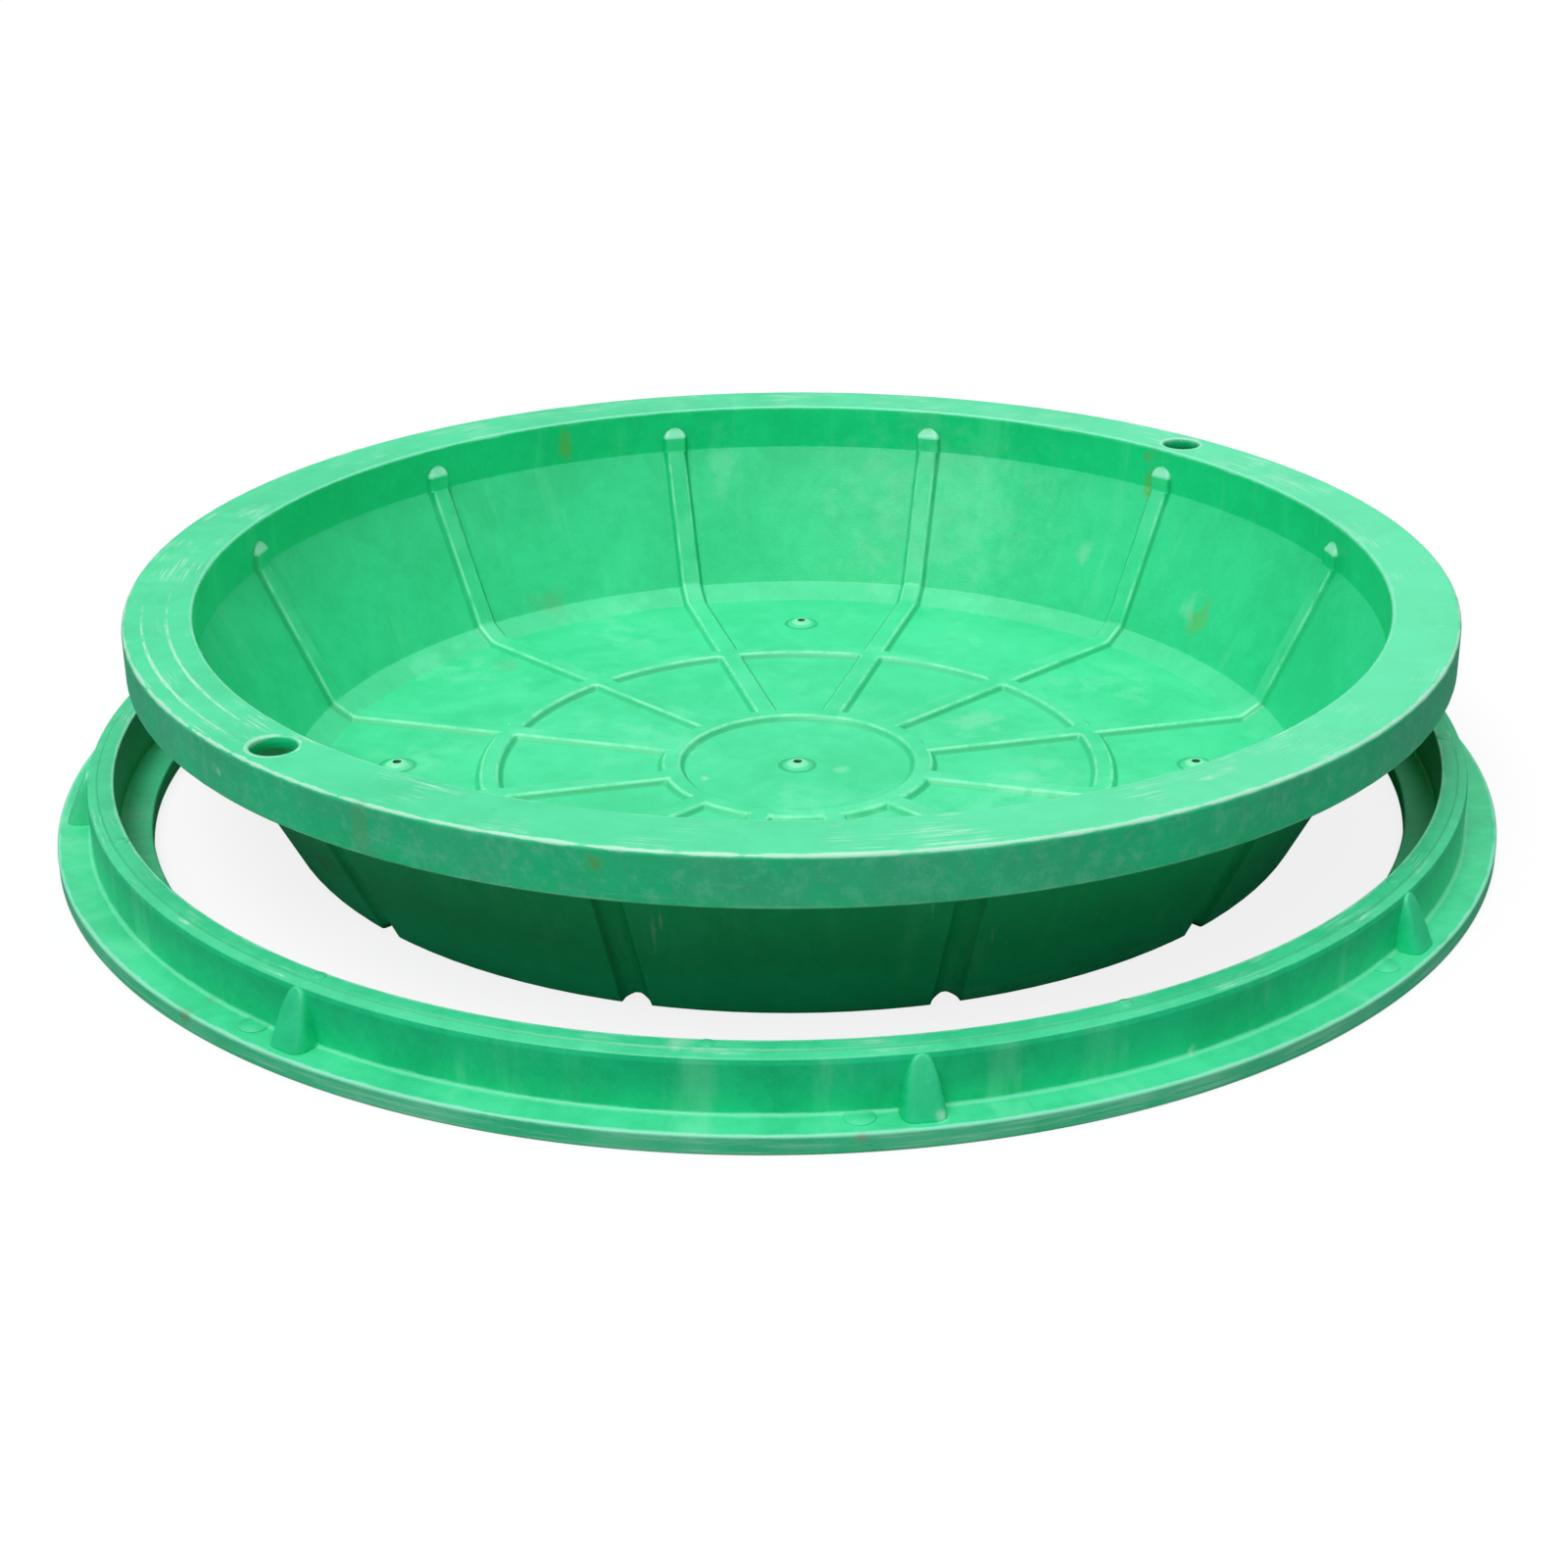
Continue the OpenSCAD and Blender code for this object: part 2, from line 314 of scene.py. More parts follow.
def stored(name, kind="FLOAT"):
    """The value that the outline stores under a name, at this row."""
    if name == "position":
        value = put(turned, "GeometryNodeInputPosition").outputs[0]
    else:
        value = put(turned, "GeometryNodeInputNamedAttribute", {"Name": name}, data_type=kind).outputs[0]
    return put(turned, "GeometryNodeSampleIndex", {
        "Geometry": given["Geometry"], "Value": value, "Index": row},
        data_type=kind, domain="POINT").outputs[0]


tell(turned)

# %% Turning tree: a point's angle from the middle of the nearest rib, with most columns close to it
spot = parts(turned, stored("position", "FLOAT_VECTOR"))
along = calc(turned, "DIVIDE", column, given["Columns per sector"])
last = calc(turned, "SUBTRACT", given["Sectors"], 1)
sector = calc(turned, "MINIMUM", calc(turned, "FLOOR", along), last)
swing = calc(turned, "SUBTRACT", times(turned, calc(turned, "SUBTRACT", along, sector), 2), 1)
half_sector = calc(turned, "DIVIDE", math.pi, given["Sectors"])
at_least = calc(turned, "MAXIMUM", spot[0], given["Rib zone width"])
reach = calc(turned, "ARCSINE", calc(turned, "DIVIDE", given["Rib zone width"], at_least))
reach = calc(turned, "MINIMUM", reach, times(turned, half_sector, given["Rib zone"]))
from_middle = calc(turned, "ABSOLUTE", swing)
inside = times(turned, reach, calc(turned, "DIVIDE", from_middle, given["Rib zone"]))
outside = put(turned, "ShaderNodeMapRange", {
    "Value": from_middle, "From Min": given["Rib zone"], "From Max": 1.0,
    "To Min": reach, "To Max": half_sector}).outputs[0]
far = calc(turned, "GREATER_THAN", from_middle, given["Rib zone"])
size = put(turned, "GeometryNodeSwitch", {"Switch": far, "False": inside, "True": outside},
           input_type="FLOAT").outputs[0]
angle = times(turned, size, calc(turned, "SIGN", swing))
tell(turned)

# %% Turning tree: how far a rib or a floor ring lifts a point, from 1 on its top to 0 beyond its foot
rib_way = parts(turned, stored("rib_way", "FLOAT_VECTOR"))
across = times(turned, spot[0], calc(turned, "SINE", angle))
away = length_of(turned, across, stored("beyond"))
fall = put(turned, "ShaderNodeMapRange", {
    "Value": away, "From Min": stored("half_top"), "From Max": stored("half_foot"),
    "To Min": 1.0, "To Max": 0.0}).outputs[0]
fall = calc(turned, "POWER", fall, stored("fullness"))
radius = calc(turned, "ADD", spot[0], times(turned, rib_way[0], fall))
rib_rise = times(turned, rib_way[2], fall)
height = calc(turned, "ADD", spot[2], calc(turned, "MAXIMUM", rib_rise, stored("ring_rise")))
raised = calc(turned, "MAXIMUM", fall, calc(turned, "DIVIDE", stored("ring_rise"), RIB_H * MM))
tell(turned)

# %% Turning tree: a point's place round the axis, the closed seam and the material
middle = times(turned, calc(turned, "ADD", sector, 0.5), times(turned, half_sector, 2))
bearing = calc(turned, "ADD", calc(turned, "ADD", middle, angle), given["Turn"])
around = put(turned, "ShaderNodeCombineXYZ", {
    0: times(turned, radius, calc(turned, "COSINE", bearing)),
    1: times(turned, radius, calc(turned, "SINE", bearing)), 2: height}).outputs[0]
placed = put(turned, "ShaderNodeVectorMath", {0: around, 1: given["Place"]}, operation="ADD").outputs[0]
shell = put(turned, "GeometryNodeSetPosition", {"Geometry": sheet, "Position": placed}).outputs[0]
shell = put(turned, "GeometryNodeStoreNamedAttribute", {
    "Geometry": shell, "Name": "raised", "Value": raised}, data_type="FLOAT", domain="POINT").outputs[0]
shell = put(turned, "GeometryNodeMergeByDistance", {"Geometry": shell, "Distance": 0.01 * MM}).outputs[0]
shell = put(turned, "GeometryNodeSetShadeSmooth", {"Geometry": shell}).outputs[0]
shell = put(turned, "GeometryNodeRealizeInstances", {"Geometry": shell}).outputs[0]
shell = put(turned, "GeometryNodeSetMaterial", {
    "Geometry": shell, "Material": given["Material"]}).outputs[0]
turned.links.new(shell, result["Geometry"])
tell(turned)

# %% [markdown]
# ## Shader groups
# The cover and the ring come from the same compound and the same kind of tool, so they wear alike. Each
# kind of mark is one shader group that both materials use with their own values: a line round an edge,
# which carries wear, painted highlights and painted shade, cloudy flow marks, scuffs that run round the
# piece, soft stains, a fine moulded grain, and dust with painted sheen on upward faces.

# %% Helpers for shader groups
def use(tree, group, values):
    """Places a group in a tree, links or sets its inputs, and returns its outputs."""
    return put(tree, "ShaderNodeGroup", values, node_tree=group).outputs


def ramp(tree, value, low, high, start=0.0, end=1.0):
    """Soft step from start to end as value goes from low to high."""
    return put(tree, "ShaderNodeMapRange", {
        "Value": value, "From Min": low, "From Max": high, "To Min": start, "To Max": end},
        interpolation_type="SMOOTHSTEP").outputs[0]


def noise(tree, place, scale, detail, roughness, distortion=0.0):
    """Noise from 0 to 1 at a place."""
    return put(tree, "ShaderNodeTexNoise", {
        "Vector": place, "Scale": scale, "Detail": detail, "Roughness": roughness,
        "Distortion": distortion}).outputs[0]


def blend(tree, factor, a, b):
    """Colour a with colour b over it by factor."""
    node = put(tree, "ShaderNodeMix", {0: factor}, data_type="RGBA")
    for slot, colour in ((6, a), (7, b)):
        if isinstance(colour, bpy.types.NodeSocket):
            tree.links.new(colour, node.inputs[slot])
        else:
            node.inputs[slot].default_value = (*colour, 1)
    return node.outputs[2]


# %% Group: place on a round piece, as radius, height and a vector that runs round it
polar, given, result = new_tree(
    "Shader", "Place on a round piece", {"Position": VECTOR, "Centre": VECTOR},
    {"Radius": "Float", "Height": "Float", "Around": "Vector", "Down": "Vector"})
offset = put(polar, "ShaderNodeVectorMath", {
    0: given["Position"], 1: given["Centre"]}, operation="SUBTRACT").outputs[0]
part = parts(polar, offset)
radius = length_of(polar, part[0], part[1])


def drawn_round(circle, share):
    """Place on a circle of one size, with a share of the way outwards and up as its height."""
    stretch = calc(polar, "DIVIDE", circle, calc(polar, "MAXIMUM", radius, 0.001))
    outwards = times(polar, calc(polar, "ADD", radius, part[2]), share)
    return put(polar, "ShaderNodeCombineXYZ", {
        0: times(polar, part[0], stretch), 1: times(polar, part[1], stretch), 2: outwards}).outputs[0]


# Noise on a small circle is drawn out round the piece, and on a wide, low one down its sides
around = drawn_round(0.012, 1.0)
down = drawn_round(0.35, 0.16)
for label, value in (("Radius", radius), ("Height", part[2]), ("Around", around), ("Down", down)):
    polar.links.new(value, result[label])
tell(polar)

# %% Group: line along a circular edge, for wear, painted highlights and painted shade
wear_and_light_edge, given, result = new_tree("Shader", "Edge line of wear and light", {
    "Radius": ("Float", 0.0), "Height": ("Float", 0.0), "Edge radius": ("Float", 0.36),
    "Edge height": ("Float", 0.12), "Width": ("Float", 0.002), "Ragged": ("Float", 0.5),
    "Noise": ("Float", 0.5)}, {"Mask": "Float"})
side = calc(wear_and_light_edge, "SUBTRACT", given["Radius"], given["Edge radius"])
drop = calc(wear_and_light_edge, "SUBTRACT", given["Height"], given["Edge height"])
distance = length_of(wear_and_light_edge, side, drop)
uneven = calc(wear_and_light_edge, "SUBTRACT", given["Noise"], 0.5)
ragged = times(wear_and_light_edge, uneven, times(wear_and_light_edge, given["Ragged"], 4))
width = times(wear_and_light_edge, given["Width"], calc(wear_and_light_edge, "ADD", 1.0, ragged))
line = ramp(wear_and_light_edge, distance, times(wear_and_light_edge, width, 0.5), width, 1.0, 0.0)
wear_and_light_edge.links.new(line, result["Mask"])
tell(wear_and_light_edge)

# %% Group: cloudy flow marks in the moulding compound
cloudy, given, result = new_tree("Shader", "Cloudy compound", {
    "Position": VECTOR, "Scale": ("Float", 1.0)}, {"Value": "Float", "Specks": "Float"})
large = noise(cloudy, given["Position"], times(cloudy, given["Scale"], 14), 4.0, 0.6, 0.6)
small = noise(cloudy, given["Position"], times(cloudy, given["Scale"], 95), 3.0, 0.6)
specks = noise(cloudy, given["Position"], times(cloudy, given["Scale"], 420), 2.0, 0.5)
value = calc(cloudy, "ADD", times(cloudy, large, 0.65), times(cloudy, small, 0.35))
cloudy.links.new(ramp(cloudy, value, 0.32, 0.68), result["Value"])
cloudy.links.new(ramp(cloudy, specks, 0.60, 0.74), result["Specks"])
tell(cloudy)

# %% Group: scuffs and scratches that run round the piece
scuffed, given, result = new_tree(
    "Shader", "Scuffs round the piece", {"Around": VECTOR, "Position": VECTOR}, {"Mask": "Float"})
streaks = ramp(scuffed, noise(scuffed, given["Around"], 900.0, 3.0, 0.7), 0.50, 0.64)
patches = ramp(scuffed, noise(scuffed, given["Position"], 21.0, 3.0, 0.6), 0.48, 0.66)
scuffed.links.new(times(scuffed, streaks, patches), result["Mask"])
tell(scuffed)

# %% Group: one soft stain round a spot
stained, given, result = new_tree("Shader", "Soft stain", {
    "Position": VECTOR, "Spot": VECTOR, "Size": ("Float", 0.01),
    "Squeeze": ("Vector", (1, 1, 1)), "Noise": ("Float", 0.5)}, {"Mask": "Float"})
gap = put(stained, "ShaderNodeVectorMath", {
    0: given["Position"], 1: given["Spot"]}, operation="SUBTRACT").outputs[0]
gap = put(stained, "ShaderNodeVectorMath", {0: gap, 1: given["Squeeze"]}, operation="MULTIPLY").outputs[0]
far = put(stained, "ShaderNodeVectorMath", {0: gap}, operation="LENGTH").outputs["Value"]
wobble = times(stained, calc(stained, "SUBTRACT", given["Noise"], 0.5), times(stained, given["Size"], 4))
near = ramp(stained, calc(stained, "ADD", far, wobble), times(stained, given["Size"], 0.1),
            times(stained, given["Size"], 1.5), 1.0, 0.0)
stained.links.new(near, result["Mask"])
tell(stained)

# %% Group: moulded grain, as a normal
grained, given, result = new_tree("Shader", "Moulded grain", {
    "Position": VECTOR, "Depth": ("Float", 0.12 * MM), "Waves": ("Float", 0.6 * MM)},
    {"Normal": "Vector"})
fine = noise(grained, given["Position"], 700.0, 2.0, 0.5)
broad = noise(grained, given["Position"], 26.0, 2.0, 0.4)
relief = calc(grained, "ADD", times(grained, fine, given["Depth"]), times(grained, broad, given["Waves"]))
bump = put(grained, "ShaderNodeBump", {"Strength": 1.0, "Distance": 1.0, "Height": relief}).outputs[0]
grained.links.new(bump, result["Normal"])
tell(grained)

# %% Group: dust and painted sheen on faces that look up
dust_and_sheen_group, given, result = new_tree("Shader", "Dust and painted sheen on upward faces", {
    "Normal": ("Vector", (0, 0, 1)), "Noise": ("Float", 0.5)}, {"Mask": "Float"})
up = parts(dust_and_sheen_group, given["Normal"])[2]
flat = ramp(dust_and_sheen_group, up, 0.15, 0.80)
cloud = calc(dust_and_sheen_group, "ADD", times(dust_and_sheen_group, given["Noise"], 0.5), 0.75)
dust_and_sheen_group.links.new(times(dust_and_sheen_group, flat, cloud), result["Mask"])
tell(dust_and_sheen_group)

# %% [markdown]
# ## The two greens
# Both pieces are self-coloured green. The base colour has almost no red in it, because the photograph's
# shaded faces lose their red first. The pale look of the upward faces is painted sheen laid into the
# colour, with a thin bloom of dust. Wear is lighter than the compound: rubbed edges turn whitish where the
# fibre filling shows, and some pale lines on edges, shoulders and rib heads add a painted highlight.
# Painted shade darkens the foot lines, the drains, the ring's bore and its top step, and stains sit where
# water has stood or run.

# %% What both greens have: clouds, dust with painted sheen, roughness and grain
class Coat:
    """One green material: clouds, dust with painted sheen, and grain, and a base colour that takes marks
    one by one.
    """

    def __init__(self, name, centre, dark, light, scale):
        self.material = bpy.data.materials.new(name)
        self.material.use_nodes = True
        self.tree = tree = self.material.node_tree
        tree.nodes.clear()
        self.shader = put(tree, "ShaderNodeBsdfPrincipled", {"IOR": 1.58})
        output = put(tree, "ShaderNodeOutputMaterial")
        tree.links.new(self.shader.outputs[0], output.inputs[0])
        self.centre = Vector(centre)
        self.place = put(tree, "ShaderNodeTexCoord").outputs["Object"]
        self.normal = put(tree, "ShaderNodeNewGeometry").outputs["Normal"]
        self.where = self.seen_from(centre)
        self.edge_noise = noise(tree, self.place, 70.0, 3.0, 0.6)
        self.patch_noise = noise(tree, self.place, 22.0, 3.0, 0.55)
        clouds = use(tree, cloudy, {"Position": self.place, "Scale": scale})
        dust_and_sheen = use(tree, dust_and_sheen_group, {"Normal": self.normal, "Noise": clouds["Value"]})["Mask"]
        self.colour = blend(tree, clouds["Value"], dark, light)
        # Upward faces are paled, partly by dust and partly by painted sheen
        self.add(0.30, (0.155, 0.81, 0.46), dust_and_sheen)
        self.add(0.10, (0.30, 0.90, 0.60), clouds["Specks"])
        rough = calc(tree, "ADD", times(tree, clouds["Value"], 0.10), times(tree, dust_and_sheen, 0.08))
        tree.links.new(calc(tree, "ADD", rough, 0.30), self.shader.inputs["Roughness"])
        grain = use(tree, grained, {"Position": self.place})["Normal"]
        tree.links.new(grain, self.shader.inputs["Normal"])

    def seen_from(self, centre):
        """Radius, height and the vectors that run round and down, seen from an upright axis."""
        return use(self.tree, polar, {"Position": self.place, "Centre": centre})

    def noise(self, place, *settings):
        return noise(self.tree, place, *settings)

    def ramp(self, value, low, high, start=0.0, end=1.0):
        return ramp(self.tree, value, low, high, start, end)

    def height(self, low, high, start=0.0, end=1.0):
        """Soft step between two heights in millimetres."""
        return self.ramp(self.where["Height"], low * MM, high * MM, start, end)

    def radius(self, low, high, start=0.0, end=1.0):
        """Soft step between two radii in millimetres."""
        return self.ramp(self.where["Radius"], low * MM, high * MM, start, end)

    def add(self, strength, tint, *masks):
        """Lays a tint over the colour, where all of the masks are."""
        self.colour = blend(self.tree, times(self.tree, *masks, strength), self.colour, tint)

    def done(self):
        """Gives the shader its colour, and returns the material."""
        self.tree.links.new(self.colour, self.shader.inputs["Base Color"])
        print(self.material.name, "has", len(self.tree.nodes), "nodes")
        return self.material


# %% The cover's green, and the painted shade, highlights and wear along its ribs
cover_centre = (COVER_AT[0] * MM, COVER_AT[1] * MM, 0)
coat = Coat("cover_green_compound", cover_centre, (0.002, 0.640, 0.250), (0.006, 0.760, 0.320), 1.0)
tree, where = coat.tree, coat.where

# Painted shade along the feet of ribs and rings, darkest on faces turned from the sun; a pale line on their
# upward shoulders is rubbed wear with a painted highlight, and their tops are rubbed pale
raised = put(tree, "ShaderNodeAttribute", attribute_name="raised").outputs["Fac"]
facing = parts(tree, coat.normal)
foot = times(tree, coat.ramp(raised, 0.0, 0.06), coat.ramp(raised, 0.35, 0.85, 1.0, 0.0))
painted_lee_shade = coat.ramp(facing[0], -0.25, 0.30, 0.30, 0.58)
# Painted shade: darker at the feet of ribs and rings, and more on the side turned from the sun
coat.add(1.0, (0.0, 0.36, 0.13), foot, painted_lee_shade)
crest_wear_and_highlight = times(tree, coat.ramp(raised, 0.55, 0.80), coat.ramp(raised, 0.975, 0.995, 1.0, 0.0))
upward = coat.ramp(facing[2], 0.0, 0.1)
# Partly rubbed wear, partly a painted highlight on the upward shoulders of ribs and rings
coat.add(1.0, (0.34, 0.93, 0.62), crest_wear_and_highlight, upward, coat.ramp(coat.edge_noise, 0.36, 0.60, 0.15, 0.60))
top = coat.ramp(raised, 0.90, 1.0)
coat.add(0.30, (0.16, 0.88, 0.50), top, coat.ramp(coat.patch_noise, 0.42, 0.62))
tell(tree)

# %% Pale runs down the cover's sides, and trodden patches on its floor
runs = coat.ramp(coat.noise(where["Down"], 42.0, 3.0, 0.6), 0.55, 0.74)
coat.add(0.30, (0.14, 0.84, 0.46), runs, coat.height(10, 20))
trodden = coat.ramp(coat.noise(coat.place, 11.0, 2.0, 0.5), 0.50, 0.66)
broken_up = coat.ramp(coat.edge_noise, 0.44, 0.62)
coat.add(0.26, (0.24, 0.90, 0.56), trodden, broken_up, coat.height(9, 12, 1.0, 0.0))
tell(tree)


# %% The rim's flat top: lighter towards its right, which is painted light, with scuffs that run round
def scuffs(coat):
    """Mask of scuffs that run round a piece."""
    where = coat.where
    return use(coat.tree, scuffed, {"Around": where["Around"], "Position": coat.place})["Mask"]


on_rim = coat.height(COVER_H - 3, COVER_H - 1)
to_the_right = parts(tree, coat.place)[0]
# Painted light: the rim's top is made lighter towards +X
coat.add(1.0, (0.19, 0.95, 0.55), on_rim, coat.ramp(to_the_right, -0.20, 0.36, 0.08, 0.46))
coat.add(0.80, (0.48, 0.93, 0.70), scuffs(coat), on_rim)
tell(tree)


# %% Two long scratches that follow the rim on its left
ALL, TALL, STRAIGHT = (1, 1, 1), (1, 1, 0.30), (1, 0.14, 0.08)


def soft_spot(coat, radius, bearing, height, size, squeeze):
    """Mask of a soft spot, its bearing in degrees and its sizes in millimetres."""
    angle = math.radians(bearing)
    way = Vector((radius * math.cos(angle), radius * math.sin(angle), height)) * MM
    return use(coat.tree, stained, {
        "Position": coat.place, "Spot": coat.centre + way, "Size": size * MM, "Squeeze": squeeze,
        "Noise": coat.edge_noise})["Mask"]


def wear_and_light_line(coat, where, radius, height, width, ragged, strength, tint, *masks):
    """Lays a line along a circular edge, for wear, painted highlights and painted shade; sizes in
    millimetres.
    """
    line = use(coat.tree, wear_and_light_edge, {
        "Radius": where["Radius"], "Height": where["Height"], "Edge radius": radius * MM,
        "Edge height": height * MM, "Width": width * MM, "Ragged": ragged, "Noise": coat.edge_noise})
    coat.add(strength, tint, line["Mask"], *masks)


near = soft_spot(coat, 352, -152, COVER_H, 75, ALL)
for scratch_r in (343.0, 356.0):
    wear_and_light_line(coat, where, scratch_r, COVER_H, 1.1, 0.8, 0.85, (0.52, 0.93, 0.72), near)
tell(tree)

# %% Rib heads catch every boot and spade, so their sloping tops are whitish: wear, with a painted highlight
out = coat.radius(BAND_R - 1.2, BAND_R - 0.3, 1.0, 0.0)
over_foot = coat.height(HEAD_LOW - 0.3, HEAD_LOW + 0.7)
under_tip = coat.height(HEAD_END + 0.4, HEAD_END + 0.9, 1.0, 0.0)
head_wear_and_highlight = coat.ramp(coat.edge_noise, 0.30, 0.52, 0.45, 0.85)
# Whitish wear on the heads' sloping tops, partly a painted highlight
coat.add(1.0, (0.38, 0.93, 0.68), out, over_foot, under_tip, head_wear_and_highlight)
tell(tree)

# %% A worn line along the rim's outer edge, a painted highlight along its inner edge, and the greyer skirt below
wear_and_light_line(coat, where, RIM_R - 0.6, COVER_H - 0.4, 1.35, 0.75, 0.75, (0.60, 0.94, 0.76))
# Painted highlight along the rim's inner edge
wear_and_light_line(coat, where, BAND_R + 0.5, COVER_H, 1.5, 0.5, 0.55, (0.30, 0.93, 0.64))
skirt = times(tree, coat.radius(RIM_R - 2, RIM_R - 0.5), calc(tree, "SUBTRACT", 1.0, on_rim))
coat.add(1.0, (0.10, 0.50, 0.31), skirt, coat.ramp(coat.patch_noise, 0.35, 0.65, 0.15, 0.55))
mottle = coat.ramp(coat.noise(coat.place, 120.0, 5.0, 0.75), 0.46, 0.66)
coat.add(0.34, (0.24, 0.76, 0.50), skirt, mottle)
brushed = coat.ramp(coat.noise(where["Around"], 520.0, 3.0, 0.7), 0.58, 0.70)
coat.add(0.16, (0.34, 0.80, 0.58), skirt, brushed)
wear_and_light_line(coat, where, RIM_R, SKIRT_LOW + 0.4, 1.3, 0.8, 0.5, (0.30, 0.80, 0.55))
tell(tree)


# %% Pale rims round the lifting holes and pale nub lips, wear with a painted highlight; painted shade at the nubs' feet and in their drains
def spots_round(count, circle_r, start):
    """Places (x, y) set evenly on a circle round the cover's middle, in millimetres."""
    turns = [start + COVER_TURN + 2 * math.pi * k / count for k in range(count)]
    return [(COVER_AT[0] + circle_r * math.cos(a), COVER_AT[1] + circle_r * math.sin(a)) for a in turns]


nub_spots = spots_round(1, 0, 0) + spots_round(NUBS, NUB_R, 0)
hole_spots = spots_round(HOLES, HOLES_R, HOLES_AT)
print(len(nub_spots), "nubs with drains,", len(hole_spots), "lifting holes")
for x, y in hole_spots:
    near = coat.seen_from((x * MM, y * MM, 0))
    # Pale rim round each lifting hole: wear with a painted highlight
    wear_and_light_line(coat, near, HOLE_R + 1.3, COVER_H - 0.4, 1.8, 0.9, 0.55, (0.50, 0.93, 0.72))
for x, y in nub_spots:
    near = coat.seen_from((x * MM, y * MM, 0))
    # Pale lip of each nub: wear with a painted highlight
    wear_and_light_line(coat, near, NUB_LIP_R + 0.8, FLOOR_T + NUB_H - 0.3, 3.0, 0.2, 0.50, (0.38, 0.93, 0.64))
    # Painted shade round each nub's foot
    wear_and_light_line(coat, near, NUB_FOOT_R + 0.8, FLOOR_T, 1.6, 0.4, 0.55, (0.0, 0.34, 0.12))
    # Painted shade in each drain
    painted_drain_shade = coat.ramp(near["Radius"], (DRAIN_R + 0.4) * MM, (DRAIN_R + 0.8) * MM, 0.92, 0.0)
    coat.add(1.0, (0.0, 0.05, 0.02), painted_drain_shade)

# %% Stains and chips where the photograph has them
OLIVE, RUST, CHALK = (0.22, 0.40, 0.02), (0.22, 0.36, 0.16), (0.50, 0.92, 0.72)


def stains(coat, spots):
    """Lays soft spots over the colour: what soft_spot takes of each, then its strength and tint."""
    for *spot, strength, tint in spots:
        coat.add(strength, tint, soft_spot(coat, *spot))


stains(coat, (
    (BAND_R, 119.5, 108, 3.5, TALL, 0.50, OLIVE), (BAND_R, 48.5, 115, 4, ALL, 0.65, OLIVE),
    (BAND_R, 47.5, 101, 5, TALL, 0.50, OLIVE), (299, 34, 34, 8, ALL, 0.40, OLIVE),
    (RIM_R, -102, 113, 4, ALL, 0.60, OLIVE), (289, 126, 13, 11, ALL, 0.22, RUST),
    (312, 74, 60, 55, ALL, 0.12, CHALK), (242, 141, FLOOR_T, 8, ALL, 0.20, RUST),
    (RIM_R, -121, 108, 5, TALL, 0.30, RUST), (304, -140, 30, 5, TALL, 0.55, RUST),
    (RIM_R, -137, 108, 2.2, ALL, 0.85, CHALK), (323, 101, 81, 9, TALL, 0.14, CHALK),
    (308, 54, 51, 4, TALL, 0.24, CHALK), (301, 36, 38, 5, TALL, 0.22, CHALK),
    (317, -100.3, 56, 1.0, STRAIGHT, 0.80, CHALK), (321, -99.5, 65, 0.8, STRAIGHT, 0.70, CHALK),
    (312, -71, 47, 0.9, STRAIGHT, 0.80, CHALK), (324, -77, 71, 0.7, STRAIGHT, 0.60, CHALK),
    (126, 33, FLOOR_T, 12, ALL, 0.22, CHALK), (130, -8, FLOOR_T, 10, ALL, 0.20, CHALK),
    (56, -159, FLOOR_T, 3, ALL, 0.45, CHALK), (26, -12, FLOOR_T, 4, ALL, 0.22, CHALK)))
cover_green = coat.done()

# %% [markdown]
# ## The ring's green
# The ring comes from the same compound in a slightly lighter batch. It lies in the ground, so it is
# scuffed where the cover slides in and pale where the flange was handled, and its bore and the step in
# its top are darkened with painted shade. It takes the same groups and helpers as the cover, with its own
# values.

# %% The ring's green, with scuffs, runs and painted shade in its bore
coat = Coat("ring_green_compound", (0, 0, 0), (0.002, 0.600, 0.240), (0.010, 0.760, 0.330), 1.3)
where = coat.where
coat.add(0.80, (0.48, 0.93, 0.72), scuffs(coat), coat.height(RING_H - 2.8, RING_H - 1.5))

# Pale runs down the wall and over the ledge, and painted shade in the bore
runs = coat.ramp(coat.noise(where["Down"], 38.0, 4.0, 0.65), 0.50, 0.72)
coat.add(0.48, (0.20, 0.86, 0.50), runs, coat.height(RING_H - 2.8, RING_H - 1.5, 1.0, 0.0))
painted_bore_shade = coat.radius(BORE_R + 0.1, BORE_R + 0.5, 1.0, 0.0)
# Painted shade: the bore is darkened above the ledge
coat.add(0.55, (0.0, 0.30, 0.12), painted_bore_shade, coat.height(FLANGE_T + 1, FLANGE_T + 2))
tell(coat.tree)

# %% Painted shade in the top's small step, and pale lines along the bore's corner and the wall's foot
# Painted shade along the top's small step
wear_and_light_line(coat, where, TOP_STEP_R, RING_H - 0.6, 0.9, 0.3, 0.30, (0.0, 0.34, 0.13))
wear_and_light_line(coat, where, BORE_R + 0.6, RING_H, 1.3, 0.8, 0.6, (0.35, 0.92, 0.66))
wear_and_light_line(coat, where, WALL_R + 1.0, FLANGE_T + 0.4, 1.6, 0.5, 0.5, (0.20, 0.88, 0.56))
tell(coat.tree)

